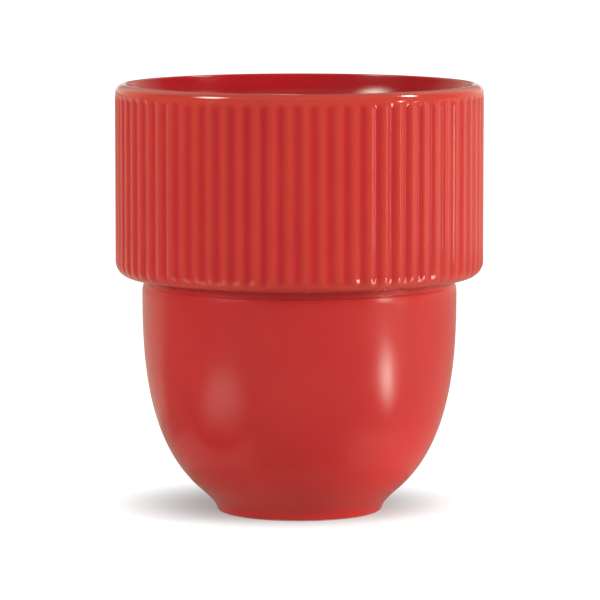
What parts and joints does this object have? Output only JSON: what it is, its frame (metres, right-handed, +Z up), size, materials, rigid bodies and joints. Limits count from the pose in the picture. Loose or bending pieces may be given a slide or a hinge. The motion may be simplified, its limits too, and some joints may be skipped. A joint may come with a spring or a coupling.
{
  "type": "cup",
  "caption": "Handle-less stoneware cup: a wide ribbed collar with a rounded lip over a smooth rounded bowl on a small foot, glazed red inside and out, for hot or cold drinks.",
  "frame": {"origin": "middle of the standing face, on the cup's axis", "axes": "+Z up along the cup's axis, -Y towards the viewer in the picture, +X to the viewer's right"},
  "size_m": [0.0858, 0.0858, 0.1],
  "materials": {
    "satin_glaze": "satin red glaze on stoneware",
    "gloss_glaze": "gloss red glaze on stoneware",
    "foot_clay": "satin red glaze on the sides, bare fired clay on the standing face",
    "liner_glaze": "deep red gloss glaze"
  },
  "bodies": {
    "root": {"bowl": "satin_glaze", "ribbed_collar": "gloss_glaze", "foot_ring": "foot_clay", "glaze_liner": "liner_glaze"}
  },
  "joints": []
}
